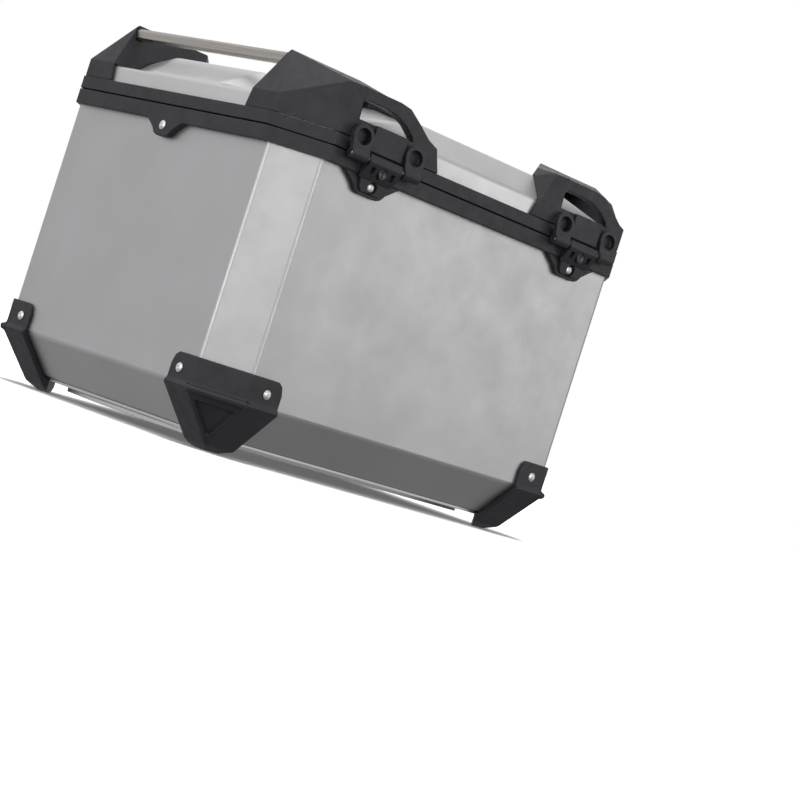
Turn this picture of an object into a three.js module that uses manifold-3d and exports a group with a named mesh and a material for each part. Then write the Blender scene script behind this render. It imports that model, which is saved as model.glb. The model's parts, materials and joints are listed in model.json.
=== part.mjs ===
// Aluminium top case for a motorcycle: a folded sheet body, a sheet lid with moulded corner pieces,
// four hasp latches that also serve as the lid's hinges, and a plate underneath that meets the rack.
// Millimetres, +Z up. +X is the front of the motorcycle, +Y its left side. Heights below are counted
// from a datum FOOT_Z under the feet; the finished group is lowered by that much, so that the case
// stands on its four corner feet at z = 0 with the origin under its middle.
import * as THREE from 'three';
import { ConvexGeometry } from 'three/addons/geometries/ConvexGeometry.js';
import { mergeVertices } from 'three/addons/utils/BufferGeometryUtils.js';
import Module from 'manifold-3d';

const wasm = await Module();
wasm.setup();

// Driving dimensions of the sheet body
const LENGTH = 437;
const WIDTH = 336;
const CORNER_LEG = 32.5;       // legs of the upright corner chamfers, and how far the floor bevel runs in
const FLOOR_Z = 18;            // underside of the folded floor
const FOOT_Z = 4;              // where the corner feet end
const BEVEL_HEIGHT = 33.3;
const SHEET = 1.5;
const GAP = 0.3;               // air between touching pieces
const HALF_X = LENGTH / 2;
const HALF_Y = WIDTH / 2;
const CREASE_Z = FLOOR_Z + BEVEL_HEIGHT;

// Rims: the body frame and the lid frame meet at the split
const SPLIT_Z = 274.5;
const SPLIT_GAP = 1;
const BODY_FRAME_Z = 261;
const LID_FRAME_Z = 286;
const FRAME_OUT = 6.5;         // how far the frames stand out of the walls
const FRAME_CORNER_OUT = 3.2;   // and how far out of the corner chamfers
const FRAME_IN = 4.5;
const BODY_RIM_Z = 270.5;      // upper edge of the body sheet, inside the body frame
const LID_RIM_Z = 279.5;       // lower edge of the lid sheet, inside the lid frame
const SEAL_OUT = 2;
const SEAL_IN = 1.5;
const SEAL_HEIGHT = 2.2;

// Lid
const LID_OUT = 1.6;           // the lid sheet stands this far out of the body wall
const BAND_TOP_Z = 301;
const LID_TOP_Z = 323.5;
const LID_TOP_HALF_X = 187;
const LID_TOP_HALF_Y = 148;
const LID_TOP_NECK_X = 76;     // the flat top's edges end here and run slantwise past the corner pieces
const LID_TOP_NECK_Y = 60;
const LID_BASE_NECK_X = 172;   // the same, at the foot of the raised panel
const LID_BASE_NECK_Y = 45;

// Moulded lid corners
const CORNER_OUT = 4.6;
const CORNER_CHAMFER_OUT = 2.6;
const CORNER_END_X = 62;       // inner end of a lid corner at the lid frame
const CORNER_END_RISE = 7.5;   // the inner end leans back by this much up to the band's top
const CORNER_BASE_Y = 96;      // inner side at the lid frame; it leans outward up to the crest
const CORNER_BASE_X = 126;     // the inner end runs slantwise from here to CORNER_END_X
const CORNER_CREST_Y = 107.4;
const CREST_OUTER_X = 203;
const CREST_INNER_X = 120;
const CREST_Z = 343.3;
const SHOULDER_Y = 149;
const SHOULDER_Z = 328.6;
const SHOULDER_END = [84, 141, 332.5];   // inner end of the shoulder, and the corner just below it
const SHOULDER_LOW_END = [74, 147, 323];

// Lashing eyelets in the lid corners
const EYE_FRONT_Y = 175;
const EYE_BACK_Y = 166;
const CHEEK_U = -36;            // near end of the slot, where the corner's form meets the wall
const CHEEK_FLAT_U = -54;       // from here to the slot the form is flush with the wall
const EYE_OPEN_Y = 126;         // the hollow behind the slot is open above from here outward
const EYE_OPEN_X = [112, 163];
const EYE_POCKET_Y = 105;       // and reaches in to here below the crest
const EYE_POCKET_X = [130, 163];
const EYE_TOP_Z = 329;
const EYE_SLOT_LOW_Z = 302.5;
const EYE_SLOT_TOP_Z = 319;

// Grab bars
const BAR_X = 200;
const BAR_Z = 335.2;
const BAR_HEIGHT = 10.4;
const BAR_DEPTH = 8;
const BAR_END_Y = 110;         // inside the lid corners

// Latches
const LATCH_X = 130.4;
const PIVOT_Y = 181;
const PIVOT_Z = 274;
const SHAFT_R = 2.2;
const SHAFT_HALF = 39.5;
const ARM_U = 31;              // middle of each arm from the middle of its latch
const ARM_HALF_W = 11.6;
const ARM_THICK = 4.6;
const ARM_LEAN = 5.7;          // degrees that the arms lean in towards the lid
const EYE_LEVER = 15;          // from the shaft to the middle of an arm's eye
const KNUCKLE_R = 4.7;
const BRACKET_HALF = 19;
const BRACKET_TOP_Z = 278.6;
const BRACKET_NOSE_Z = 272.5;
const BRACKET_NOSE_OUT = 4;    // of the nose, from the shaft's axis
const BRACKET_WAIST_Z = 265;
const BRACKET_FOOT_Z = 258.3;
const BRACKET_FOOT_Y = 176;
const BRACKET_PLATE_Z = 247.5;  // the bracket's foot plate covers the tab down to here
const LOCK_R = 4.2;
const LOCK_Z = 266;
const LOCK_FACE_Y = 182.4;
const SLOT_U = 11.5;           // moulded slots to either side of the lock

// Tabs of the body frame, and the rivets
const TAB_TOP_HALF = 33;
const TAB_FOOT_HALF = 15;
const TAB_FOOT_Z = 245;
const TAB_OUT = 4.6;
const END_TAB_TOP_HALF = 25;
const END_TAB_FOOT_HALF = 10;
const END_TAB_FOOT_Z = 247;
const TAB_RIVET_Z = 253.3;
const END_TAB_RIVET_Z = 256.2;
const RIVET_R = 2.4;
const RIVET_HEAD_R = 4.4;
const RIVET_HEAD = 1.6;
const GUARD_RIVET_Z = 63.5;
const GUARD_RIVET_IN = 17.4;   // from the edge of the corner chamfer

// Corner guards at the floor, which end in the feet
const GUARD_OUT = 5.5;         // below the crease
const FLANGE_OUT = 3.4;        // above it
const GUARD_TOP_Z = 76.5;
const GUARD_SIDE_Z = 66;
const GUARD_END_WIDTH = 30;    // flange on the end wall, from the edge of the corner chamfer
const GUARD_SIDE_WIDTH = 34;
const GUARD_TAPER = 6.5;
const FOOT_DEPTH = 24;         // how far the foot reaches in from the corner of the bevels at the ground
const FOOT_EASE = 5;           // the foot's outer edges are eased by this much
const BEAD_HALF = 26;          // raised bead along the crease of each guard
const BEAD_OUT = 2.4;
const RECESS_HALF = 18.5;      // sunk triangle in the facet below the bead
const RECESS_TOP_Z = 42.5;
const RECESS_LOW_Z = 16;
const RECESS_DEPTH = 3.6;

// Plates and bolts under the floor
const FLOOR_PLATE_HALF_X = 183;
const FLOOR_PLATE_HALF_Y = 132;
const FLOOR_PLATE = 2.6;
const ADAPTER_HALF_X = 168;
const ADAPTER_HALF_Y = 92;
const ADAPTER_BULGE = 14;
const ADAPTER_THICK = 4;
const BOLT_X = 118;
const BOLT_Y = 66;
const BOLT_R = 3;
const BOLT_HEAD_R = 8;
const BOLT_HEAD = 4;

const finish = (color, roughness, metalness) =>
  () => new THREE.MeshStandardMaterial({ color, roughness, metalness });
const aluminium = finish('#b4b5b6', 0.42, 0.9);
const bronzeAnodised = finish('#8f8a82', 0.38, 0.9);
const blackPlastic = finish('#2c2b2e', 0.62, 0.0);
const steel = finish('#cfcfcc', 0.3, 1.0);
const rubber = finish('#161616', 0.85, 0.0);

const radians = THREE.MathUtils.degToRad;
const SIDES = [-1, 1];

// ---------------------------------------------------------------- solids

function toSolid(geometry) {
  const bare = geometry.index ? geometry.toNonIndexed() : geometry.clone();
  bare.deleteAttribute('normal');
  bare.deleteAttribute('uv');
  const merged = mergeVertices(bare, 1e-4);
  const vertProperties = new Float32Array(merged.attributes.position.array);
  const triVerts = new Uint32Array(merged.index.array);
  return new wasm.Manifold(new wasm.Mesh({ numProp: 3, vertProperties, triVerts }));
}

function toGeometry(solid) {
  const mesh = solid.getMesh();
  const geometry = new THREE.BufferGeometry();
  geometry.setAttribute('position', new THREE.Float32BufferAttribute(mesh.vertProperties, 3));
  geometry.setIndex(new THREE.BufferAttribute(new Uint32Array(mesh.triVerts), 1));
  return geometry;
}

const cut = (from, ...tools) => tools.reduce((left, tool) => left.subtract(tool), from);
const join = (...solids) => solids.reduce((sum, solid) => sum.add(solid));

function hull(points) {
  return toSolid(new ConvexGeometry(points.map((p) => new THREE.Vector3(...p))));
}

function box(low, high) {
  const size = high.map((value, i) => value - low[i]);
  const geometry = new THREE.BoxGeometry(...size);
  geometry.translate(...low.map((value, i) => value + size[i] / 2));
  return toSolid(geometry);
}

function outline(points) {
  return new THREE.Shape(points.map(([x, y]) => new THREE.Vector2(x, y)));
}

// A flat outline in X and Y, raised from z = low to z = high
function slab(shape, low, high) {
  const settings = { depth: high - low, bevelEnabled: false, curveSegments: 6 };
  const geometry = new THREE.ExtrudeGeometry(shape, settings);
  geometry.translate(0, 0, low);
  return toSolid(geometry);
}

// The turn that takes +Y to a unit vector
const turnTo = (axis) =>
  new THREE.Quaternion().setFromUnitVectors(new THREE.Vector3(0, 1, 0), new THREE.Vector3(...axis));

// A cylinder whose axis runs along the unit vector axis, from point start, length long
function rod(start, axis, radius, length, segments = 14) {
  const geometry = new THREE.CylinderGeometry(radius, radius, length, segments);
  geometry.translate(0, length / 2, 0);
  geometry.applyQuaternion(turnTo(axis));
  geometry.translate(...start);
  return toSolid(geometry);
}

// ---------------------------------------------------------------- plan outlines

// The eight corners of the plan, at one distance out of the body walls and another out of the chamfers
function plan(out, chamferOut = out) {
  const x = HALF_X + out;
  const y = HALF_Y + out;
  const leg = CORNER_LEG + 2 * out - chamferOut * Math.SQRT2;
  return [
    [x, -(y - leg)], [x, y - leg], [x - leg, y], [-(x - leg), y],
    [-x, y - leg], [-x, -(y - leg)], [-(x - leg), -y], [x - leg, -y],
  ];
}

const planRing = (outer, inner, low, high, chamferOut = outer) =>
  cut(slab(outline(plan(outer, chamferOut)), low, high), slab(outline(plan(inner)), low - 1, high + 1));

const level = (points, z) => points.map(([x, y]) => [x, y, z]);

// The closed shape of the body, at a distance out of its faces, with a flat floor at floorZ
function bodyForm(out, topZ, floorZ) {
  const creaseShift = out * Math.tan(Math.PI / 8);
  const creaseZ = CREASE_Z - creaseShift;
  const slope = CORNER_LEG / BEVEL_HEIGHT;
  const inset = (creaseZ - floorZ) * slope;
  const x = HALF_X + out - inset;
  const y = HALF_Y + out - inset;
  const floorCorners = [[x, y, floorZ], [-x, y, floorZ], [x, -y, floorZ], [-x, -y, floorZ]];
  return hull([...level(plan(out), topZ), ...level(plan(out), creaseZ), ...floorCorners]);
}

// ---------------------------------------------------------------- rivets

// A blind rivet: domed head outside, shank, and the bulb that forms behind the sheet
function rivetGeometry(grip) {
  const dome = [
    [0, RIVET_HEAD], [RIVET_HEAD_R * 0.55, RIVET_HEAD * 0.85], [RIVET_HEAD_R * 0.9, RIVET_HEAD * 0.4],
  ];
  const profile = [
    ...dome, [RIVET_HEAD_R, 0], [RIVET_R, 0], [RIVET_R, -grip],
    [RIVET_R * 1.45, -grip - 1.2], [RIVET_R * 1.2, -grip - 3.4], [0, -grip - 3.8],
  ];
  const points = profile.map(([r, h]) => new THREE.Vector2(r, h)).reverse();
  return new THREE.LatheGeometry(points, 12);
}

const rivetHoles = [];

// Records a rivet's hole and returns its mesh. outward is the unit vector that the head faces.
function rivet(name, surface, outward, grip) {
  const start = surface.map((value, i) => value - outward[i] * 30);
  rivetHoles.push(rod(start, outward, RIVET_R + GAP, 36, 12));
  const geometry = rivetGeometry(grip);
  geometry.applyQuaternion(turnTo(outward));
  geometry.translate(...surface.map((value, i) => value + outward[i] * GAP));
  return mesh(name, toSolid(geometry), steel);
}

// ---------------------------------------------------------------- the assembly

const topCase = new THREE.Group();

function mesh(name, solid, material) {
  const made = new THREE.Mesh(toGeometry(solid), material());
  made.name = name;
  return made;
}

const END_NAME = { '-1': 'rear', 1: 'front' };
const SIDE_NAME = { '-1': 'right', 1: 'left' };
const quarter = (sx, sy) => `${END_NAME[sx]}_${SIDE_NAME[sy]}`;
const corners = SIDES.flatMap((sx) => SIDES.map((sy) => [sx, sy]));

// A point given for the front left corner, moved to the corner with signs sx and sy
const toCorner = (points, sx, sy) => points.map(([x, y, z]) => [sx * x, sy * y, z]);

// A point given in a latch's own frame, u to the right as seen from outside and y outward
const toLatch = (points, sx, sy) => points.map(([u, y, z]) => [sx * LATCH_X - sy * u, sy * y, z]);

function addRivets() {
  const guardGrip = FLANGE_OUT + SHEET + GAP;
  for (const [sx, sy] of corners) {
    const onEnd = [sx * (HALF_X + FLANGE_OUT), sy * (HALF_Y - CORNER_LEG - GUARD_RIVET_IN), GUARD_RIVET_Z];
    const onSide = [sx * (HALF_X - CORNER_LEG - GUARD_RIVET_IN), sy * (HALF_Y + FLANGE_OUT), GUARD_RIVET_Z];
    topCase.add(rivet(`guard_rivet_end_${quarter(sx, sy)}`, onEnd, [sx, 0, 0], guardGrip));
    topCase.add(rivet(`guard_rivet_side_${quarter(sx, sy)}`, onSide, [0, sy, 0], guardGrip));
    const tabFace = [sx * LATCH_X, sy * (HALF_Y + TAB_OUT), TAB_RIVET_Z];
    topCase.add(rivet(`latch_rivet_${quarter(sx, sy)}`, tabFace, [0, sy, 0], TAB_OUT + SHEET + GAP));
  }
  for (const sx of SIDES) {
    const face = [sx * (HALF_X + FRAME_OUT), 0, END_TAB_RIVET_Z];
    topCase.add(rivet(`frame_rivet_${END_NAME[sx]}`, face, [sx, 0, 0], FRAME_OUT + SHEET + GAP));
  }
}

// ---------------------------------------------------------------- body

function boltHoles(radius) {
  const holes = corners.map(([sx, sy]) => rod([sx * BOLT_X, sy * BOLT_Y, 0], [0, 0, 1], radius, 40, 12));
  return holes;
}

function addBodyShell() {
  const outside = bodyForm(0, BODY_RIM_Z, FLOOR_Z);
  const inside = bodyForm(-SHEET, BODY_RIM_Z + 5, FLOOR_Z + SHEET);
  topCase.add(mesh('body_shell', cut(outside, inside, ...rivetHoles, ...boltHoles(BOLT_R + GAP)), aluminium));
}

// Outline of a tab in u and z, reaching up into the frame
function tabOutline(topHalf, footHalf, footZ) {
  const round = 4;
  return outline([
    [-topHalf - 2, BODY_FRAME_Z + 2], [-topHalf, BODY_FRAME_Z], [-footHalf - round, footZ + round * 1.6],
    [-footHalf, footZ + round * 0.4], [-footHalf + round, footZ], [footHalf - round, footZ],
    [footHalf, footZ + round * 0.4], [footHalf + round, footZ + round * 1.6],
    [topHalf, BODY_FRAME_Z], [topHalf + 2, BODY_FRAME_Z + 2],
  ]);
}

// A tab against the wall, in the plane that the quarter turns choose
function tab(shape, thick, wall, turns, shift) {
  const geometry = new THREE.ExtrudeGeometry(shape, { depth: thick - GAP, bevelEnabled: false });
  geometry.rotateX(Math.PI / 2);
  geometry.translate(0, -wall - GAP, 0);
  geometry.rotateZ(turns * Math.PI / 2);
  geometry.translate(shift, 0, 0);
  return toSolid(geometry);
}

function addBodyFrame() {
  const low = BODY_FRAME_Z;
  const high = SPLIT_Z - SPLIT_GAP / 2;
  const ring = planRing(FRAME_OUT, -FRAME_IN, low, high, FRAME_CORNER_OUT);
  const sheetSlot = planRing(GAP, -SHEET - GAP, low - 1, BODY_RIM_Z + GAP);
  const sealGroove = planRing(SEAL_OUT + GAP, -SEAL_IN - GAP, high - SEAL_HEIGHT, high + 1);
  const latchTab = tabOutline(TAB_TOP_HALF, TAB_FOOT_HALF, TAB_FOOT_Z);
  const endTab = tabOutline(END_TAB_TOP_HALF, END_TAB_FOOT_HALF, END_TAB_FOOT_Z);
  const tabs = [tab(endTab, FRAME_OUT, HALF_X, 1, 0), tab(endTab, FRAME_OUT, HALF_X, 3, 0)];
  for (const sx of SIDES) {
    tabs.push(tab(latchTab, TAB_OUT, HALF_Y, 0, sx * LATCH_X));
    tabs.push(tab(latchTab, TAB_OUT, HALF_Y, 2, sx * LATCH_X));
  }
  const frame = cut(join(ring, ...tabs), sheetSlot, sealGroove, ...rivetHoles);
  topCase.add(mesh('body_frame', frame, blackPlastic));
  const seal = planRing(SEAL_OUT, -SEAL_IN, high - SEAL_HEIGHT + GAP, high + SPLIT_GAP / 2);
  topCase.add(mesh('rim_seal', seal, rubber));
}

// The inner side of each foot is the upright plane x + y = footLine()
function footLine() {
  const inset = (CREASE_Z - FOOT_Z - GUARD_OUT * Math.tan(Math.PI / 8)) * CORNER_LEG / BEVEL_HEIGHT;
  return HALF_X + HALF_Y + 2 * GUARD_OUT - 2 * inset - FOOT_DEPTH;
}

// Two points on the sloping facet of the front left guard, half to either side of its middle line,
// at height z and at a distance out of the facet
function facetPair(half, z, out) {
  const creaseZ = CREASE_Z - GUARD_OUT * Math.tan(Math.PI / 8);
  const [, [x, y], [nextX, nextY]] = plan(GUARD_OUT);
  const facetHeight = creaseZ - FOOT_Z - FOOT_EASE;
  const inset = facetHeight * CORNER_LEG / BEVEL_HEIGHT;
  const leg = x - nextX;
  const lean = (2 * inset - leg) / facetHeight * Math.max(0, creaseZ - z) / 2;
  const middle = [(x + nextX) / 2 - lean, (y + nextY) / 2 - lean];
  const shift = out / Math.SQRT2;
  const along = half / Math.SQRT2;
  return SIDES.map((side) => [middle[0] + shift + side * along, middle[1] + shift - side * along, z]);
}

function addGuards() {
  const creaseZ = CREASE_Z - GUARD_OUT * Math.tan(Math.PI / 8);
  const rise = CORNER_LEG / BEVEL_HEIGHT;
  const deep = creaseZ - FOOT_Z;
  const footAt = (inset, z) => corners.map(([sx, sy]) =>
    [sx * (HALF_X + GUARD_OUT - inset), sy * (HALF_Y + GUARD_OUT - inset), z]);
  const outside = join(
    hull([
      ...level(plan(FLANGE_OUT), CREASE_Z + 3), ...level(plan(GUARD_OUT), CREASE_Z - 0.5),
      ...level(plan(GUARD_OUT), creaseZ), ...footAt((deep - FOOT_EASE) * rise, FOOT_Z + FOOT_EASE),
      ...footAt(deep * rise + FOOT_EASE * 0.8, FOOT_Z),
    ]),
    slab(outline(plan(FLANGE_OUT)), CREASE_Z, GUARD_TOP_Z + 5),
  );
  const body = bodyForm(GAP, GUARD_TOP_Z + 10, FLOOR_Z - GAP);
  const edgeX = HALF_X - CORNER_LEG - GUARD_SIDE_WIDTH;
  const edgeY = HALF_Y - CORNER_LEG - GUARD_END_WIDTH;
  const far = HALF_X + 20;
  const base = (z, shift) => [
    [edgeX + shift, edgeY + shift, z], [far, edgeY + shift, z], [far, far, z], [edgeX + shift, far, z],
  ];
  const easedZ = GUARD_TOP_Z - 3.2;
  const clipForm = [
    ...base(0, 0), ...base(GUARD_SIDE_Z, 0), ...base(easedZ, GUARD_TAPER * 0.35),
    ...base(GUARD_TOP_Z, GUARD_TAPER),
  ];
  const beadLine = (rise, out) => facetPair(BEAD_HALF, CREASE_Z + rise, out);
  const beadForm = [
    ...beadLine(2.4, -2.2), ...beadLine(1.2, BEAD_OUT - 1), ...beadLine(-0.6, BEAD_OUT),
    ...beadLine(-3.4, BEAD_OUT), ...beadLine(-4.6, 1), ...beadLine(-4.6, -1),
  ];
  const recessForm = [
    ...facetPair(RECESS_HALF, RECESS_TOP_Z, 3),
    ...facetPair(RECESS_HALF - 2, RECESS_TOP_Z - 1, -RECESS_DEPTH),
    ...facetPair(1.2, RECESS_LOW_Z, 3), ...facetPair(1, RECESS_LOW_Z + 3, -RECESS_DEPTH),
  ];
  const footSum = footLine();
  const underFloor = [
    [edgeX - 1, edgeY - 1], [footSum - edgeY + 1, edgeY - 1], [edgeX - 1, footSum - edgeX + 1],
  ];
  const hollowForm = [...level(underFloor, -1), ...level(underFloor, FLOOR_Z)];
  for (const [sx, sy] of corners) {
    const clip = hull(toCorner(clipForm, sx, sy));
    const hollow = hull(toCorner(hollowForm, sx, sy));
    const bead = hull(toCorner(beadForm, sx, sy));
    const recess = hull(toCorner(recessForm, sx, sy));
    const guard = cut(join(outside.intersect(clip), bead), body, hollow, recess, ...rivetHoles);
    topCase.add(mesh(`corner_guard_${quarter(sx, sy)}`, guard, blackPlastic));
  }
}

function addUnderside() {
  const plateTop = FLOOR_Z - GAP;
  const plateLow = plateTop - FLOOR_PLATE;
  const round = 12;
  const x = FLOOR_PLATE_HALF_X;
  const y = FLOOR_PLATE_HALF_Y;
  const floorPlate = outline([
    [x, -(y - round)], [x, y - round], [x - round, y], [round - x, y],
    [-x, y - round], [-x, round - y], [round - x, -y], [x - round, -y],
  ]);
  const holes = boltHoles(BOLT_R + GAP);
  const floorSheet = cut(slab(floorPlate, plateLow, plateTop), guardFeetRoom(), ...holes);
  topCase.add(mesh('floor_plate', floorSheet, aluminium));

  const adapter = new THREE.Shape();
  adapter.moveTo(ADAPTER_HALF_X, -ADAPTER_HALF_Y);
  adapter.quadraticCurveTo(ADAPTER_HALF_X + 2 * ADAPTER_BULGE, 0, ADAPTER_HALF_X, ADAPTER_HALF_Y);
  adapter.lineTo(-ADAPTER_HALF_X, ADAPTER_HALF_Y);
  adapter.quadraticCurveTo(-ADAPTER_HALF_X - 2 * ADAPTER_BULGE, 0, -ADAPTER_HALF_X, -ADAPTER_HALF_Y);
  const adapterTop = plateLow - GAP;
  const adapterLow = adapterTop - ADAPTER_THICK;
  topCase.add(mesh('adapter_plate', cut(slab(adapter, adapterLow, adapterTop), ...holes), aluminium));

  const headZ = FLOOR_Z + SHEET + GAP;
  const tipZ = adapterLow + 0.5;
  for (const [sx, sy] of corners) {
    const centre = [sx * BOLT_X, sy * BOLT_Y];
    const head = rod([...centre, headZ], [0, 0, 1], BOLT_HEAD_R, BOLT_HEAD, 14);
    const shank = rod([...centre, tipZ], [0, 0, 1], BOLT_R, headZ - tipZ + 1, 12);
    const socket = rod([...centre, headZ + 1.5], [0, 0, 1], BOLT_R, BOLT_HEAD, 6);
    topCase.add(mesh(`adapter_bolt_${quarter(sx, sy)}`, cut(join(head, shank), socket), steel));
  }
}

// Room around the feet, which stand under the corners of the floor
function guardFeetRoom() {
  const sum = footLine() - 1;
  const wedge = [[HALF_X, sum - HALF_X], [HALF_X, HALF_Y], [sum - HALF_Y, HALF_Y]];
  const form = [...level(wedge, 0), ...level(wedge, FLOOR_Z)];
  return join(...corners.map(([sx, sy]) => hull(toCorner(form, sx, sy))));
}

// ---------------------------------------------------------------- lid

// The band and the raised panel on it, at a distance out of their faces
function lidForm(out, lowZ, skin) {
  const bandTop = BAND_TOP_Z + skin;
  const edgeX = HALF_X + out;
  const edgeY = HALF_Y + out;
  const ring = (x, neckY, neckX, y, grow, z) => corners.flatMap(([sx, sy]) => [
    [sx * (x + grow), sy * (neckY + grow), z], [sx * (neckX + grow), sy * (y + grow), z],
  ]);
  const band = slab(outline(plan(out + skin)), lowZ, bandTop);
  const panel = hull([
    ...ring(edgeX, LID_BASE_NECK_Y, LID_BASE_NECK_X, edgeY, skin - 1, bandTop - 2),
    ...ring(edgeX, LID_BASE_NECK_Y, LID_BASE_NECK_X, edgeY, skin, bandTop),
    ...ring(LID_TOP_HALF_X, LID_TOP_NECK_Y, LID_TOP_NECK_X, LID_TOP_HALF_Y, skin, LID_TOP_Z + skin),
  ]);
  return join(band, panel);
}

function addLidShell() {
  const outside = lidForm(LID_OUT, LID_RIM_Z, 0);
  const inside = lidForm(LID_OUT, LID_RIM_Z - 5, -SHEET);
  topCase.add(mesh('lid_shell', cut(outside, inside), aluminium));
}

function addLidFrame() {
  const low = SPLIT_Z + SPLIT_GAP / 2;
  const ring = planRing(FRAME_OUT, -FRAME_IN, low, LID_FRAME_Z, FRAME_CORNER_OUT);
  const sheetSlot = planRing(LID_OUT + GAP, LID_OUT - SHEET - GAP, LID_RIM_Z - GAP, LID_FRAME_Z + 1);
  topCase.add(mesh('lid_frame', cut(ring, sheetSlot), blackPlastic));
}

// The faceted outer form of a lid corner, for the front left
function cornerForm() {
  const low = LID_FRAME_Z + GAP;
  const outer = plan(CORNER_OUT, CORNER_CHAMFER_OUT);
  const [endX, chamferY] = outer[1];
  const [chamferX, sideY] = outer[2];
  const bandZ = BAND_TOP_Z + 1;
  const endTopX = CORNER_END_X + CORNER_END_RISE;
  return [
    [endX, CORNER_BASE_Y, low], [endX, chamferY, low], [chamferX, sideY, low], [CORNER_END_X, sideY, low],
    [CORNER_END_X, SHOULDER_Y, low], [CORNER_BASE_X, CORNER_BASE_Y, low],
    [endX, CORNER_BASE_Y + 3, bandZ], [endX, chamferY, bandZ],
    [chamferX, sideY, bandZ], [endTopX, sideY, bandZ],
    [chamferX, SHOULDER_Y, SHOULDER_Z], SHOULDER_END, SHOULDER_LOW_END,
    [CREST_OUTER_X, CORNER_CREST_Y, CREST_Z], [CREST_INNER_X, CORNER_CREST_Y, CREST_Z],
  ];
}

// The upright wall around the lashing slot, in u and z of its latch
function eyeOutline() {
  return outline([
    [CHEEK_U - 2, LID_FRAME_Z + GAP], [65, LID_FRAME_Z + GAP], [57, 305.7], [45, 310], [31, 318.8],
    [16, 327.3], [3, EYE_TOP_Z], [CHEEK_U - 2, EYE_TOP_Z],
  ]);
}

function slotOutline() {
  return outline([
    [-36, EYE_SLOT_LOW_Z], [28, EYE_SLOT_LOW_Z], [26, 306], [16, 312.5], [2, 317.5],
    [-12, EYE_SLOT_TOP_Z], [-33, EYE_SLOT_TOP_Z], [-37, 316],
  ]);
}

// A flat outline in u and z, standing from y = near to y = far in front of the latch with signs sx and sy
function standing(shape, near, far, sx, sy) {
  const geometry = new THREE.ExtrudeGeometry(shape, { depth: far - near, bevelEnabled: false });
  geometry.rotateX(Math.PI / 2);
  geometry.translate(0, -near, 0);
  if (sy > 0) {
    geometry.rotateZ(Math.PI);
  }
  geometry.translate(sx * LATCH_X, 0, 0);
  return toSolid(geometry);
}

const lidRoom = lidForm(LID_OUT, LID_RIM_Z, GAP);

// The corner's form drawn out to the near end of the wall around the slot
function cheek(sx, sy) {
  const low = LID_FRAME_Z + GAP;
  const wallEnd = [CHEEK_FLAT_U, CHEEK_U].flatMap((u) => [
    [u, EYE_FRONT_Y, low], [u, EYE_FRONT_Y, EYE_TOP_Z - 1], [u, EYE_FRONT_Y - 1, EYE_TOP_Z],
  ]);
  const drawn = hull([...toCorner(cornerForm(), sx, sy), ...toLatch(wallEnd, sx, sy)]);
  return drawn.intersect(box(...latchBox([-LATCH_X, 0, low], [CHEEK_U, HALF_Y + 20, CREST_Z], sx, sy)));
}

// The hollow behind the slot, open above and undercut below the crest
function eyePocket(sx, sy) {
  const mouth = (z) => toLatch([[CHEEK_U, EYE_BACK_Y, z], [34, EYE_BACK_Y, z]], sx, sy);
  const back = ([near, far], y, z) => toCorner([[near, y, z], [far, y, z]], sx, sy);
  const low = BAND_TOP_Z - 1;
  const high = CREST_Z + 5;
  const open = hull([
    ...mouth(low), ...back(EYE_OPEN_X, EYE_OPEN_Y, low),
    ...mouth(high), ...back(EYE_OPEN_X, EYE_OPEN_Y, high),
  ]);
  const under = hull([
    ...mouth(low), ...mouth(EYE_SLOT_TOP_Z), ...back(EYE_POCKET_X, EYE_POCKET_Y, low),
    ...back(EYE_POCKET_X, EYE_POCKET_Y, LID_TOP_Z + 5),
  ]);
  return join(open, under);
}

function lidCorner(sx, sy) {
  const form = hull(toCorner(cornerForm(), sx, sy));
  const planSpace = slab(outline(plan(EYE_FRONT_Y - HALF_Y + 1, CORNER_CHAMFER_OUT)), LID_FRAME_Z, CREST_Z);
  const wall = standing(eyeOutline(), EYE_BACK_Y, EYE_FRONT_Y, sx, sy).intersect(planSpace);
  const slot = standing(slotOutline(), EYE_BACK_Y - 1, EYE_FRONT_Y + 1, sx, sy);
  const solid = join(form, cheek(sx, sy)).intersect(planSpace);
  const eyelet = cut(join(cut(solid, eyePocket(sx, sy)), wall), slot);
  const frontY = HALF_Y + FRAME_OUT + GAP;
  const apron = box(...latchBox([0.4 - BRACKET_HALF, frontY, 281],
    [BRACKET_HALF - 0.4, PIVOT_Y - 1.2, EYE_SLOT_LOW_Z], sx, sy));
  const lugs = SIDES.map((side) => box(...latchBox([side * ARM_U - 5, frontY, 283],
    [side * ARM_U + 5, frontY + 1.3, 294], sx, sy)));
  const whole = join(eyelet, apron, ...lugs);
  return cut(whole, lidRoom, bar(sx, GAP, BAR_END_Y));
}

// Lowest and highest corners of a box given in a latch's own frame
function latchBox(low, high, sx, sy) {
  const [a, b] = toLatch([low, high], sx, sy);
  return [a.map((value, i) => Math.min(value, b[i])), a.map((value, i) => Math.max(value, b[i]))];
}

function addLidCorners() {
  for (const [sx, sy] of corners) {
    topCase.add(mesh(`lid_corner_${quarter(sx, sy)}`, lidCorner(sx, sy), blackPlastic));
  }
}

// A grab bar with eased edges, or the room for it when out is a gap
function bar(sx, out, end) {
  const ease = 2;
  const x = BAR_DEPTH / 2 + out;
  const z = BAR_HEIGHT / 2 + out;
  const section = outline([
    [x, -(z - ease)], [x, z - ease], [x - ease, z], [ease - x, z],
    [-x, z - ease], [-x, ease - z], [ease - x, -z], [x - ease, -z],
  ]);
  const geometry = new THREE.ExtrudeGeometry(section, { depth: 2 * end, bevelEnabled: false });
  geometry.rotateX(Math.PI / 2);
  geometry.translate(sx * BAR_X, end, BAR_Z);
  return toSolid(geometry);
}

function addGrabBars() {
  for (const sx of SIDES) {
    topCase.add(mesh(`grab_bar_${END_NAME[sx]}`, bar(sx, 0, BAR_END_Y - GAP), bronzeAnodised));
  }
}

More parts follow.
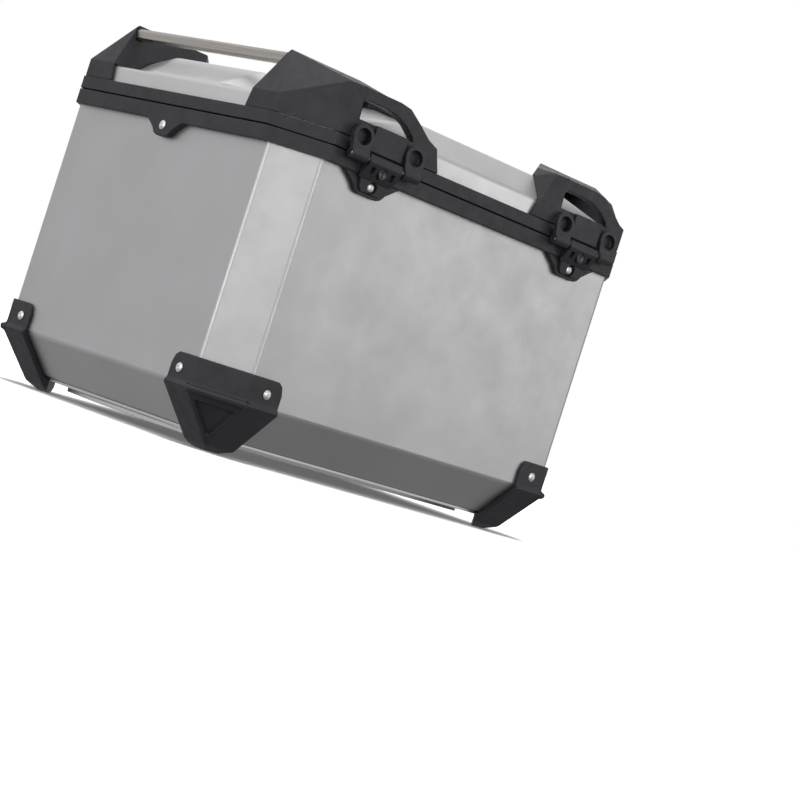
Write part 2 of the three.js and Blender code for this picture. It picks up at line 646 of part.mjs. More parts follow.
// ---------------------------------------------------------------- latches

function bracket(sx, sy) {
  const back = HALF_Y + FRAME_OUT + GAP;
  const nose = PIVOT_Y + BRACKET_NOSE_OUT;
  const across = (y, z) => [[-BRACKET_HALF, y, z], [BRACKET_HALF, y, z]];
  const form = hull(toLatch([
    ...across(back, BRACKET_FOOT_Z), ...across(BRACKET_FOOT_Y, BRACKET_FOOT_Z),
    ...across(PIVOT_Y, BRACKET_WAIST_Z), ...across(nose, BRACKET_NOSE_Z),
    ...across(PIVOT_Y + 1.6, BRACKET_TOP_Z), ...across(PIVOT_Y - 2, BRACKET_TOP_Z),
    ...across(back, PIVOT_Z - 1),
  ], sx, sy));
  const [centre] = toLatch([[0, 0, 0]], sx, sy);
  const shaftHole = rod([centre[0] - 30, sy * PIVOT_Y, PIVOT_Z], [1, 0, 0], SHAFT_R + GAP, 60, 14);
  const lockHole = rod([centre[0], sy * (back - 1), LOCK_Z], [0, sy, 0], LOCK_R + GAP, 20, 20);
  const slots = SIDES.map((side) => box(...latchBox([side * SLOT_U - 2.4, PIVOT_Y - 3.4, LOCK_Z - 3.2],
    [side * SLOT_U + 2.4, PIVOT_Y + 6, LOCK_Z + 3.2], sx, sy)));
  const plateBack = HALF_Y + TAB_OUT + GAP;
  const plateTop = BODY_FRAME_Z - GAP;
  const plate = hull(toLatch([
    [-17, plateBack, plateTop], [17, plateBack, plateTop],
    [-17, BRACKET_FOOT_Y, plateTop], [17, BRACKET_FOOT_Y, plateTop],
    [-14, plateBack, BRACKET_PLATE_Z + 3], [14, plateBack, BRACKET_PLATE_Z + 3],
    [-14, plateBack + 2, BRACKET_PLATE_Z + 3], [14, plateBack + 2, BRACKET_PLATE_Z + 3],
    [-10.5, plateBack, BRACKET_PLATE_Z], [10.5, plateBack, BRACKET_PLATE_Z],
    [-10.5, plateBack + 1.8, BRACKET_PLATE_Z], [10.5, plateBack + 1.8, BRACKET_PLATE_Z],
  ], sx, sy));
  const rivetRoom = rod([centre[0], sy * HALF_Y, TAB_RIVET_Z], [0, sy, 0], RIVET_HEAD_R + 0.8, 20, 20);
  return cut(join(form, plate), shaftHole, lockHole, rivetRoom, ...slots, ...rivetHoles);
}

// One arm: an eye that closes over a lug of the lid, on a knuckle that turns with the shaft
function arm(side, sx, sy) {
  const eye = new THREE.Shape();
  eye.absellipse(0, EYE_LEVER, ARM_HALF_W, 10.6, 0, 2 * Math.PI);
  const neckHalf = 9.4;
  const shoulder = ARM_HALF_W - 0.6;
  const neckTop = EYE_LEVER - 4;
  const neck = outline([[-neckHalf, 0], [neckHalf, 0], [shoulder, neckTop], [-shoulder, neckTop]]);
  const hole = new THREE.Shape();
  hole.absellipse(0, EYE_LEVER + 0.4, ARM_HALF_W - 3.6, 7, 0, 2 * Math.PI);
  const plate = (shape, thick, segments) => {
    const settings = { depth: thick, bevelEnabled: false, curveSegments: segments };
    const geometry = new THREE.ExtrudeGeometry(shape, settings);
    geometry.translate(0, 0, -thick / 2);
    return toSolid(geometry);
  };
  const knuckle = rod([-neckHalf, 0, 0], [1, 0, 0], KNUCKLE_R, 2 * neckHalf, 14);
  const bore = rod([-20, 0, 0], [1, 0, 0], SHAFT_R + GAP, 40, 14);
  const whole = join(plate(eye, ARM_THICK, 12), plate(neck, ARM_THICK, 1), knuckle);
  const flat = cut(whole, plate(hole, 20, 10), bore);
  const geometry = toGeometry(flat);
  geometry.rotateX(Math.PI / 2 - radians(ARM_LEAN));
  if (sy > 0) {
    geometry.rotateZ(Math.PI);
  }
  const [place] = toLatch([[side * ARM_U, PIVOT_Y, PIVOT_Z]], sx, sy);
  geometry.translate(...place);
  return toSolid(geometry);
}

function lockCylinder(sx, sy) {
  const [centre] = toLatch([[0, 0, 0]], sx, sy);
  const back = HALF_Y + FRAME_OUT + 2 * GAP;
  const plug = rod([centre[0], sy * back, LOCK_Z], [0, sy, 0], LOCK_R, LOCK_FACE_Y - back, 20);
  const keyway = box(...latchBox([-0.6, LOCK_FACE_Y - 4, LOCK_Z - 2.6],
    [0.6, LOCK_FACE_Y + 1, LOCK_Z + 2.6], sx, sy));
  return cut(plug, keyway);
}

function addLatches() {
  for (const [sx, sy] of corners) {
    const where = quarter(sx, sy);
    const [middle] = toLatch([[0, PIVOT_Y, PIVOT_Z]], sx, sy);
    const shaftStart = [middle[0] - SHAFT_HALF, middle[1], middle[2]];
    const shaft = rod(shaftStart, [1, 0, 0], SHAFT_R, 2 * SHAFT_HALF, 14);
    topCase.add(mesh(`latch_bracket_${where}`, bracket(sx, sy), blackPlastic));
    topCase.add(mesh(`hasp_shaft_${where}`, shaft, steel));
    topCase.add(mesh(`hasp_arm_a_${where}`, arm(-1, sx, sy), blackPlastic));
    topCase.add(mesh(`hasp_arm_b_${where}`, arm(1, sx, sy), blackPlastic));
    topCase.add(mesh(`lock_cylinder_${where}`, lockCylinder(sx, sy), steel));
  }
}

addRivets();
addBodyShell();
addBodyFrame();
addGuards();
addUnderside();
addLidShell();
addLidFrame();
addLidCorners();
addGrabBars();
addLatches();

topCase.position.z = -FOOT_Z;

export default topCase;
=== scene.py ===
"""Looks of the aluminium top case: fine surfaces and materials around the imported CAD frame."""
import json
import math

import bmesh
import bpy
from mathutils import Matrix, Vector


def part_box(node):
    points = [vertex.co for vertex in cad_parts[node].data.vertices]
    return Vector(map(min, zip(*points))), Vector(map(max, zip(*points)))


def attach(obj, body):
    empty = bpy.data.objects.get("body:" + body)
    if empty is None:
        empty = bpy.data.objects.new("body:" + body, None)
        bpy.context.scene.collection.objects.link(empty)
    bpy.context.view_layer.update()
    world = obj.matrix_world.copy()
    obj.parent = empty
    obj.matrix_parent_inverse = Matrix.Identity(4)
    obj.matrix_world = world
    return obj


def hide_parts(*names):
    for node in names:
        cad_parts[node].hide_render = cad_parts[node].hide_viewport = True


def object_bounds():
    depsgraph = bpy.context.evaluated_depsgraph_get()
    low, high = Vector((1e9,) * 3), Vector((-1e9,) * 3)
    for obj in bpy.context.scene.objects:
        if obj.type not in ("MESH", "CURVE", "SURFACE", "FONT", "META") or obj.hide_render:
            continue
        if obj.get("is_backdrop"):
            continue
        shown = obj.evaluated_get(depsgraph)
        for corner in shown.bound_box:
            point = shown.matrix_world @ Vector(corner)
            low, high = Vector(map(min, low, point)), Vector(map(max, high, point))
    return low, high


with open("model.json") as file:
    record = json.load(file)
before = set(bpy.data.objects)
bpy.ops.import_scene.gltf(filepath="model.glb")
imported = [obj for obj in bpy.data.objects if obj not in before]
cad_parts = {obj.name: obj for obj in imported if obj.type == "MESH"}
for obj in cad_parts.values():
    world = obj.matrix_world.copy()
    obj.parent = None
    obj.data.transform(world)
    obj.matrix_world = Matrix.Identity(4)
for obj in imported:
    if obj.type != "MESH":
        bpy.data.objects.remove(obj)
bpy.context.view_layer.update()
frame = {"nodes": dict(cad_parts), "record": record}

NODES = frame["nodes"]
ENDS = {"rear": -1, "front": 1}
SIDES = {"right": -1, "left": 1}
QUARTERS = [f"{end}_{side}" for end in ENDS for side in SIDES]

# Sheet metal, in metres
SHEET = 0.0015
FOLD = 0.0026            # outer radius of the folds
CORNER_LEG = 0.0325      # legs of the upright corner chamfers
BEVEL_HEIGHT = 0.0333    # of the sloping faces round the floor
LID_FOLD = 0.003
LID_BAND = 0.0215        # height of the lid's upright band
LID_TOP_HALF = (0.187, 0.148)
LID_TOP_NECK = (0.076, 0.060)     # where the flat top's edges turn slantwise
LID_BASE_NECK = (0.172, 0.045)    # the same at the foot of the raised panel


# ---------------------------------------------------------------- materials

RANGE_INPUTS = ("From Min", "From Max", "To Min", "To Max")


class Shader:
    """A node material built step by step around one Principled shader."""

    def __init__(self, name, metallic, roughness, colour):
        self.material = bpy.data.materials.new(name)
        self.material.use_nodes = True
        self.tree = self.material.node_tree
        self.shader = self.tree.nodes["Principled BSDF"]
        self.shader.inputs["Metallic"].default_value = metallic
        self.shader.inputs["Roughness"].default_value = roughness
        self.shader.inputs["Base Color"].default_value = (*colour, 1)
        self.height = None

    def node(self, kind, **inputs):
        made = self.tree.nodes.new(kind)
        for name, value in inputs.items():
            made.inputs[name.replace("_", " ")].default_value = value
        return made

    def link(self, source, target):
        self.tree.links.new(source, target)

    def place(self, stretch=(1, 1, 1)):
        """The object's own coordinates, stretched per axis."""
        coordinates = self.node("ShaderNodeTexCoord")
        mapping = self.node("ShaderNodeMapping", Scale=stretch)
        self.link(coordinates.outputs["Object"], mapping.inputs["Vector"])
        return mapping.outputs["Vector"]

    def noise(self, scale, detail=3.0, rough=0.55, stretch=(1, 1, 1)):
        made = self.node("ShaderNodeTexNoise", Scale=scale, Detail=detail, Roughness=rough)
        self.link(self.place(stretch), made.inputs["Vector"])
        return made.outputs["Fac"]

    def remap(self, value, low, high, out_low, out_high):
        made = self.node("ShaderNodeMapRange")
        for name, number in zip(RANGE_INPUTS, (low, high, out_low, out_high)):
            made.inputs[name].default_value = number
        self.link(value, made.inputs["Value"])
        return made.outputs["Result"]

    def tint(self, factor, dark, light):
        made = self.node("ShaderNodeMix")
        made.data_type = "RGBA"
        made.inputs["A"].default_value = (*dark, 1)
        made.inputs["B"].default_value = (*light, 1)
        self.link(factor, made.inputs["Factor"])
        self.link(made.outputs["Result"], self.shader.inputs["Base Color"])

    def roughen(self, value, low, high):
        self.link(self.remap(value, 0.3, 0.7, low, high), self.shader.inputs["Roughness"])

    def bump(self, height, depth, strength=1.0):
        made = self.node("ShaderNodeBump", Strength=strength, Distance=depth)
        self.link(height, made.inputs["Height"])
        if self.height is not None:
            self.link(self.height, made.inputs["Normal"])
        self.height = made.outputs["Normal"]
        self.link(self.height, self.shader.inputs["Normal"])


def sheet_aluminium(name, dark, light):
    """Satin anodised sheet: fine even grain, faint clouds and the slight waviness of folded sheet."""
    s = Shader(name, 0.96, 0.4, light)
    clouds = s.noise(9, 4, 0.6)
    s.tint(s.remap(clouds, 0.3, 0.7, 0, 1), dark, light)
    s.roughen(s.noise(26, 5, 0.65), 0.37, 0.47)
    s.bump(s.noise(5, 1, 0.4), 0.0012, 0.16)
    s.bump(s.noise(1900, 2, 0.6), 0.00005, 0.35)
    return s.material


def plate_aluminium():
    """Rolled plate: long fine lines along the plate."""
    s = Shader("aluminium_plate", 1.0, 0.4, (0.66, 0.66, 0.65))
    lines = s.noise(700, 3, 0.6, (0.02, 1, 1))
    s.tint(s.remap(lines, 0.3, 0.7, 0, 1), (0.55, 0.55, 0.54), (0.7, 0.7, 0.69))
    s.roughen(lines, 0.32, 0.48)
    s.bump(lines, 0.00004, 0.4)
    return s.material


def anodised_bar():
    """Bronze grey anodising over lines brushed along the bar."""
    s = Shader("anodised_bar", 1.0, 0.36, (0.3, 0.28, 0.26))
    lines = s.noise(900, 3, 0.6, (1, 0.015, 1))
    s.tint(s.remap(lines, 0.3, 0.7, 0, 1), (0.39, 0.36, 0.33), (0.5, 0.47, 0.435))
    s.roughen(s.noise(60, 4, 0.6), 0.3, 0.42)
    s.bump(lines, 0.00003, 0.4)
    return s.material


def grained_plastic():
    """Black glass-filled nylon with a fine spark-eroded grain and slightly dusty patches."""
    s = Shader("black_plastic", 0.0, 0.5, (0.03, 0.03, 0.033))
    dust = s.noise(38, 5, 0.65)
    s.tint(s.remap(dust, 0.35, 0.75, 0, 1), (0.0155, 0.0152, 0.0185), (0.026, 0.0258, 0.031))
    s.roughen(s.noise(110, 4, 0.6), 0.46, 0.6)
    s.bump(s.noise(750, 3, 0.7), 0.00012, 0.45)
    s.bump(s.noise(2600, 2, 0.6), 0.00004, 0.4)
    return s.material


def bright_rivet():
    """Aluminium rivet heads with faint marks from setting."""
    s = Shader("rivet_aluminium", 1.0, 0.3, (0.8, 0.8, 0.78))
    marks = s.noise(420, 4, 0.6)
    s.tint(s.remap(marks, 0.3, 0.7, 0, 1), (0.7, 0.7, 0.68), (0.86, 0.86, 0.84))
    s.roughen(marks, 0.24, 0.4)
    s.bump(marks, 0.00005, 0.4)
    return s.material


def zinc_steel():
    """Zinc plated steel, a little mottled."""
    s = Shader("steel_pin", 1.0, 0.34, (0.56, 0.56, 0.55))
    mottle = s.noise(260, 4, 0.6)
    s.tint(s.remap(mottle, 0.3, 0.7, 0, 1), (0.46, 0.46, 0.45), (0.62, 0.62, 0.6))
    s.roughen(mottle, 0.26, 0.44)
    s.bump(s.noise(1500, 2, 0.6), 0.00003, 0.4)
    return s.material


def black_chrome():
    """Lock plugs, turned on the face and lightly worn by the key."""
    s = Shader("lock_plug", 1.0, 0.3, (0.1, 0.1, 0.105))
    wear = s.noise(900, 4, 0.7)
    s.tint(s.remap(wear, 0.35, 0.7, 0, 1), (0.07, 0.07, 0.075), (0.13, 0.13, 0.135))
    s.roughen(wear, 0.26, 0.4)
    s.bump(wear, 0.00002, 0.4)
    return s.material


def foam_rubber():
    """Matt black cellular rubber."""
    s = Shader("rubber_seal", 0.0, 0.85, (0.02, 0.02, 0.02))
    cells = s.noise(1300, 3, 0.6)
    s.tint(s.remap(cells, 0.3, 0.7, 0, 1), (0.014, 0.014, 0.014), (0.03, 0.03, 0.03))
    s.roughen(cells, 0.78, 0.95)
    s.bump(cells, 0.0001, 0.6)
    return s.material


def studio_floor():
    """Plain pale floor."""
    s = Shader("studio_floor", 0.0, 0.8, (0.9, 0.9, 0.9))
    s.tint(s.noise(2, 2, 0.5), (0.88, 0.88, 0.88), (0.92, 0.92, 0.92))
    return s.material


BODY_TINTS = ((0.51, 0.51, 0.505), (0.555, 0.555, 0.56))
# The lid's tints are a lighter copy of the body's sheet: painted light for the brighter light that the
# lid's band and panel catch.
LID_TINTS_PAINTED_LIGHTER = ((0.64, 0.64, 0.635), (0.7, 0.7, 0.7))

FINISH = {
    "aluminium_sheet": sheet_aluminium("aluminium_sheet", *BODY_TINTS),
    "aluminium_plate": plate_aluminium(),
    "anodised_bar": anodised_bar(),
    "black_plastic": grained_plastic(),
    "rivet_aluminium": bright_rivet(),
    "steel_pin": zinc_steel(),
    "lock_plug": black_chrome(),
    "rubber_seal": foam_rubber(),
}

# Same sheet as the body, painted lighter to stand for the light falling on the lid.
LID_SHEET_PAINTED_LIGHTER = sheet_aluminium("aluminium_lid_painted_lighter", *LID_TINTS_PAINTED_LIGHTER)


def dress_nodes():
    """Gives every CAD node the finish of its material slot."""
    slots = {part["node"]: part["material_slot"] for part in frame["record"]["subparts"]}
    for name, node in NODES.items():
        for index in range(len(node.material_slots)):
            node.material_slots[index].link = "OBJECT"
            node.material_slots[index].material = FINISH[slots[name]]


# ---------------------------------------------------------------- mesh helpers

WELD_GAP = 2e-5
FLAT_ANGLE = 1.5         # degrees; faces closer than this count as one flat
FOLD_ANGLE = 0.05        # radians; edges sharper than this are folds
FOLD_STEPS = 5


def piece(name, mesh, body, slot, replaces=()):
    """Makes a visible piece from a mesh, riding on its body."""
    made = bpy.data.objects.new(name, mesh)
    bpy.context.scene.collection.objects.link(made)
    mesh.materials.append(FINISH[slot])
    mesh.shade_smooth()
    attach(made, body)
    if replaces:
        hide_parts(*replaces)
    return made


def finish_mesh(name, bm):
    mesh = bpy.data.meshes.new(name)
    bmesh.ops.recalc_face_normals(bm, faces=bm.faces)
    bm.to_mesh(mesh)
    bm.free()
    return mesh


def weighted(made):
    """Keeps flat faces flat in the shading, beside rounded edges."""
    normals = made.modifiers.new("normals", "WEIGHTED_NORMAL")
    normals.keep_sharp = True
    normals.weight = 90


def eased(name, width, segments=3, angle=24, join_flats=True):
    """Rounds the edges of a CAD node by a small bevel, as moulding and machining leave them.

    Flat areas are joined into single faces first. That is left out where a flat runs round a
    large opening, because the joined face would close it.
    """
    node = NODES[name]
    node.data.shade_smooth()
    weld = node.modifiers.new("weld", "WELD")
    weld.merge_threshold = WELD_GAP
    if join_flats:
        flat = node.modifiers.new("flat", "DECIMATE")
        flat.decimate_type = "DISSOLVE"
        flat.angle_limit = math.radians(FLAT_ANGLE)
    bevel = node.modifiers.new("bevel", "BEVEL")
    bevel.width = width
    bevel.segments = segments
    bevel.limit_method = "ANGLE"
    bevel.angle_limit = math.radians(angle)
    bevel.use_clamp_overlap = False
    bevel.harden_normals = True
    weighted(node)


def sheet_shell(name, body, node, rings, faces, fold, finish):
    """A folded sheet: a shell of flat faces whose folds are rounded, thickened inward."""
    bm = bmesh.new()
    verts = [bm.verts.new(point) for point in rings]
    for face in faces:
        bm.faces.new([verts[i] for i in face])
    bmesh.ops.recalc_face_normals(bm, faces=bm.faces)
    inner_edges = (edge for edge in bm.edges if len(edge.link_faces) == 2)
    folds = [edge for edge in inner_edges if edge.calc_face_angle() > FOLD_ANGLE]
    bmesh.ops.bevel(bm, geom=folds, offset=fold * 0.5, segments=FOLD_STEPS, profile=0.5,
                    affect="EDGES", clamp_overlap=True)
    mesh = bpy.data.meshes.new(name)
    bm.to_mesh(mesh)
    bm.free()
    made = piece(name, mesh, body, "aluminium_sheet", [node])
    made.material_slots[0].material = finish
    skin = made.modifiers.new("sheet", "SOLIDIFY")
    skin.thickness = SHEET
    skin.offset = -1
    skin.use_even_offset = True
    weighted(made)


def plan(half_x, half_y, leg, z):
    """The eight corners of the chamfered plan, anticlockwise from the front right."""
    return [Vector((x, y, z)) for x, y in (
        (half_x, leg - half_y), (half_x, half_y - leg),
        (half_x - leg, half_y), (leg - half_x, half_y),
        (-half_x, half_y - leg), (-half_x, leg - half_y),
        (leg - half_x, -half_y), (half_x - leg, -half_y),
    )]


def lathe(bm, profile, centre, axis, segments=40):
    """Turns a profile of (radius, height) points round an axis; a point of radius 0 closes it."""
    turn = Vector((0, 0, 1)).rotation_difference(Vector(axis))
    rows = []
    for radius, height in profile:
        if radius == 0:
            rows.append([bm.verts.new(centre + turn @ Vector((0, 0, height)))])
            continue
        angles = (2 * math.pi * i / segments for i in range(segments))
        rows.append([
            bm.verts.new(centre + turn @ Vector((radius * math.cos(a), radius * math.sin(a), height)))
            for a in angles
        ])
    for low, high in zip(rows, rows[1:]):
        for i in range(segments):
            j = (i + 1) % segments
            corners = [low[i % len(low)], low[j % len(low)], high[j % len(high)], high[i % len(high)]]
            unique = list(dict.fromkeys(corners))
            if len(unique) > 2:
                bm.faces.new(unique)


def arc(centre, radius, start, end, steps):
    """Points of a profile round a corner, angles in degrees."""
    angles = (math.radians(start + (end - start) * i / steps) for i in range(steps + 1))
    return [(centre[0] + radius * math.cos(a), centre[1] + radius * math.sin(a)) for a in angles]


# ---------------------------------------------------------------- sheet metal

CORNERS = ((1, -1), (1, 1), (-1, 1), (-1, -1))


def body_skin():
    low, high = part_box("body_shell")
    crease_z = low.z + BEVEL_HEIGHT
    rim = plan(high.x, high.y, CORNER_LEG, high.z)
    crease = plan(high.x, high.y, CORNER_LEG, crease_z)
    x, y = high.x - CORNER_LEG, high.y - CORNER_LEG
    floor = [Vector((sx * x, sy * y, low.z)) for sx, sy in CORNERS]
    faces = [(i, (i + 1) % 8, 8 + (i + 1) % 8, 8 + i) for i in range(8)]
    faces += [(8, 9, 17, 16), (10, 11, 18, 17), (12, 13, 19, 18), (14, 15, 16, 19)]
    faces += [(9, 10, 17), (11, 12, 18), (13, 14, 19), (15, 8, 16), (16, 17, 18, 19)]
    sheet_shell("body_skin", "case", "body_shell", rim + crease + floor, faces, FOLD * 2,
                FINISH["aluminium_sheet"])


def lid_skin():
    low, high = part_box("lid_shell")
    out = high.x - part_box("body_shell")[1].x
    leg = CORNER_LEG + out * (2 - math.sqrt(2))
    band_z = low.z + LID_BAND
    rim = plan(high.x, high.y, leg, low.z)
    band = plan(high.x, high.y, leg, band_z)
    base, top = [], []
    for sx, sy in CORNERS:
        end_foot = Vector((sx * high.x, sy * LID_BASE_NECK[1], band_z))
        side_foot = Vector((sx * LID_BASE_NECK[0], sy * high.y, band_z))
        end_top = Vector((sx * LID_TOP_HALF[0], sy * LID_TOP_NECK[1], high.z))
        side_top = Vector((sx * LID_TOP_NECK[0], sy * LID_TOP_HALF[1], high.z))
        if sx == sy:
            base += [end_foot, side_foot]
            top += [end_top, side_top]
        else:
            base += [side_foot, end_foot]
            top += [side_top, end_top]
    # base and top run anticlockwise from the front right: side, end, end, side, side, end, end, side
    rims, bands, bases, tops = 0, 8, 16, 24      # where each ring starts among the corners
    faces = []
    for i in range(8):
        j = (i + 1) % 8
        lower = (rims + i, rims + j, bands + j)
        if i % 2 == 0:
            faces.append((*lower, bases + (i + 2) % 8, bases + i + 1, bands + i))
        else:
            faces.append((*lower, bands + i))
    for i in range(4):
        before, after = bands + (2 * i + 7) % 8, bands + 2 * i
        first, second = bases + 2 * i, bases + 2 * i + 1
        faces.append((first, before, after, second))
        side_foot, end_foot = (first, second) if i % 2 == 0 else (second, first)
        faces.append((side_foot, end_foot, end_foot + 8))
        faces.append((side_foot, end_foot + 8, side_foot + 8))
    for a, b in ((17, 18), (21, 22), (19, 20), (23, 16)):
        faces.append((a, b, b + 8, a + 8))
    faces.append(tuple(range(tops, tops + 8)))
    sheet_shell("lid_skin", "lid", "lid_shell", rim + band + base + top, faces, LID_FOLD * 2, LID_SHEET_PAINTED_LIGHTER)


# ---------------------------------------------------------------- rivets, shafts, bolts and locks

RIVET_HEAD_R = 0.0044
RIVET_HEAD = 0.0016
RIVET_R = 0.0024
RIVET_DOME_STEPS = 8
MANDREL_R = 0.0010        # of the hole that the snapped mandrel leaves
MANDREL_FLOOR = 0.0006    # its floor, above the sheet


def rivets():
    """Domed heads with the hole that the snapped mandrel leaves, and the bulb behind the sheet."""
    for name in sorted(NODES):
        if "rivet" not in name:
            continue
        low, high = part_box(name)
        size = high - low
        axis_index = 0 if abs(size.y - size.z) < 1e-4 else 1
        centre = (low + high) / 2
        sign = 1 if centre[axis_index] > 0 else -1
        axis = Vector((0, 0, 0))
        axis[axis_index] = sign
        grip = size[axis_index]
        base = centre - axis * (centre[axis_index] * sign)
        seat = (high if sign > 0 else -low)[axis_index] - RIVET_HEAD
        profile = [(0, MANDREL_FLOOR), (MANDREL_R, MANDREL_FLOOR), (0.0011, RIVET_HEAD * 0.98)]
        for i in range(RIVET_DOME_STEPS + 1):
            t = 0.28 + 0.72 * i / RIVET_DOME_STEPS
            profile.append((RIVET_HEAD_R * t, RIVET_HEAD * (1 - t ** 2.6)))
        tail = -(grip - RIVET_HEAD)
        profile += [(RIVET_R, 0.0), (RIVET_R, tail + 0.0038)]
        profile += [(RIVET_R * 1.45, tail + 0.0026), (RIVET_R * 1.2, tail + 0.0004), (0, tail)]
        bm = bmesh.new()
        lathe(bm, profile, base + axis * seat, axis, 32)
        piece(f"{name}_fine", finish_mesh(name, bm), "case", "rivet_aluminium", [name])


def shafts():
    """The latches' steel shafts, with chamfered ends."""
    for quarter in QUARTERS:
        name = f"hasp_shaft_{quarter}"
        low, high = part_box(name)
        centre = (low + high) / 2
        radius = (high.z - low.z) / 2
        half = (high.x - low.x) / 2
        ease = 0.0006
        end = [(radius * 0.35, half), (radius - ease, half), (radius, half - ease)]
        profile = [(0, half)] + end
        profile += [(r, -h) for r, h in reversed(end)] + [(0, -half)]
        bm = bmesh.new()
        lathe(bm, profile, centre, (1, 0, 0), 32)
        made = piece(f"{name}_fine", finish_mesh(name, bm), f"hasp_{quarter}", "steel_pin", [name])
        weighted(made)


LOCK_DISH = 0.0008
LOCK_EASE = 0.0005
KEYWAY_SIZE = (0.0011, 0.0004, 0.0052)
KEYWAY_DEPTH = 0.00085


def locks():
    """Lock plugs: a rim, a dished face, and a matt black box standing as painted shade where the keyway
    is.
    """
    for quarter in QUARTERS:
        name = f"lock_cylinder_{quarter}"
        low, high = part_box(name)
        side = SIDES[quarter.split("_")[1]]
        centre = (low + high) / 2
        radius = (high.z - low.z) / 2
        length = high.y - low.y
        face = Vector((centre.x, high.y if side > 0 else low.y, centre.z))
        profile = [(0, -LOCK_DISH), (radius * 0.62, -LOCK_DISH)]
        profile += [(radius * 0.7, -0.0003), (radius * 0.74, -0.0001)]
        profile += arc((radius - LOCK_EASE, -LOCK_EASE), LOCK_EASE, 90, 0, 4)
        profile += [(radius, -length), (0, -length)]
        bm = bmesh.new()
        lathe(bm, profile, face, (0, side, 0), 48)
        made = piece(f"{name}_fine", finish_mesh(name, bm), f"lock_{quarter}", "lock_plug", [name])
        weighted(made)
        # The keyway is not cut into the face. A matt black box in the rubber finish sits in its place as
        # painted shade for the dark slot.
        bm = bmesh.new()
        slot = bmesh.ops.create_cube(bm, size=1)
        middle = face - Vector((0, side * KEYWAY_DEPTH, 0))
        shape = Matrix.Translation(middle) @ Matrix.Diagonal((*KEYWAY_SIZE, 1))
        bmesh.ops.transform(bm, matrix=shape, verts=slot["verts"])
        bmesh.ops.bevel(bm, geom=bm.edges[:], offset=0.00015, segments=2, profile=0.5, affect="EDGES")
        piece(f"keyway_{quarter}", finish_mesh("keyway_painted_shade", bm), f"lock_{quarter}", "rubber_seal")


def bolts():
    """Adapter bolts: rounded button heads with round sockets."""
    for quarter in QUARTERS:
        name = f"adapter_bolt_{quarter}"
        low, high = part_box(name)
        centre = (low + high) / 2
        head_r = (high.x - low.x) / 2
        head = 0.004
        shank_r = 0.003
        top = high.z
        profile = [(0, top - 0.0025), (0.0027, top - 0.0025), (0.003, top - 0.0003), (0.0034, top)]
        profile += arc((head_r - 0.0022, top - 0.0022), 0.0022, 90, 0, 6)
        profile += [(head_r, top - head), (shank_r, top - head)]
        profile += [(shank_r, low.z + 0.0005), (0.0024, low.z), (0, low.z)]
        bm = bmesh.new()
        lathe(bm, profile, Vector((centre.x, centre.y, 0)), (0, 0, 1), 36)
        made = piece(f"{name}_fine", finish_mesh(name, bm), "case", "steel_pin", [name])
        weighted(made)


# ---------------------------------------------------------------- hasp arms

ARM_LEAN = math.radians(5.7)
ARM_THICK = 0.0046
EYE_LEVER = 0.015          # from the shaft to the middle of the eye
EYE_OUTER = (0.0116, 0.0106)
EYE_HOLE = (0.0080, 0.0070)
NECK_HALF = 0.0094
NECK_START = 0.0036        # below the middle of the eye
KNUCKLE_R = 0.0047
KNUCKLE_EASE = 0.0005
BORE_R = 0.0025


def arm_ring(bm):
    """The plate with its eye: outer and inner outlines with one point each per step, bridged."""
    steps = 96
    outer, inner = [], []
    for i in range(steps):
        a = 2 * math.pi * i / steps
        x, y = EYE_OUTER[0] * math.cos(a), EYE_OUTER[1] * math.sin(a)
        if y < -NECK_START:
            t = min(1.0, (-NECK_START - y) / (EYE_OUTER[1] - NECK_START))
            half = EYE_OUTER[0] * 0.94 + (NECK_HALF - EYE_OUTER[0] * 0.94) * t
            across = math.cos(a)
            x = math.copysign(min(half, abs(across) * half * 2.6), across) if abs(across) > 1e-6 else 0
            y = -NECK_START - t * (EYE_LEVER - NECK_START)
        outer.append((x, y + EYE_LEVER))
        inner.append((EYE_HOLE[0] * math.cos(a), EYE_HOLE[1] * math.sin(a) + EYE_LEVER + 0.0004))
    half = ARM_THICK / 2
    loops = []
    for outline, z in ((outer, half), (inner, half), (inner, -half), (outer, -half)):
        loops.append([bm.verts.new((x, y, z)) for x, y in outline])
    for a, b in zip(loops, loops[1:] + loops[:1]):
        for i in range(steps):
            j = (i + 1) % steps
            bm.faces.new((a[i], a[j], b[j], b[i]))


def hasp_arms():
    for quarter in QUARTERS:
        side = SIDES[quarter.split("_")[1]]
        for letter in "ab":
            name = f"hasp_arm_{letter}_{quarter}"
            low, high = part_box(name)
            shaft_low, shaft_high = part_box(f"hasp_shaft_{quarter}")
            pivot = (shaft_low + shaft_high) / 2
            pivot.x = (low.x + high.x) / 2
            bm = bmesh.new()
            arm_ring(bm)
            ring = [
                (BORE_R, -NECK_HALF), (KNUCKLE_R - KNUCKLE_EASE, -NECK_HALF),
                (KNUCKLE_R, -NECK_HALF + KNUCKLE_EASE),
            ]
            profile = ring + [(r, -h) for r, h in reversed(ring)] + ring[:1]
            lathe(bm, profile, Vector((0, 0, 0)), (1, 0, 0), 40)
            upright = Matrix.Rotation(math.pi / 2 - ARM_LEAN, 4, "X")
            turn = Matrix.Rotation(math.pi if side > 0 else 0, 4, "Z") @ upright
            bmesh.ops.transform(bm, matrix=Matrix.Translation(pivot) @ turn, verts=bm.verts[:])
            made = piece(f"{name}_fine", finish_mesh(name, bm), f"hasp_{quarter}", "black_plastic", [name])
            bevel = made.modifiers.new("bevel", "BEVEL")
            bevel.width = 0.0009
            bevel.segments = 3
            bevel.limit_method = "ANGLE"
            bevel.angle_limit = math.radians(40)
            weighted(made)


# ---------------------------------------------------------------- the CAD nodes that show as they are

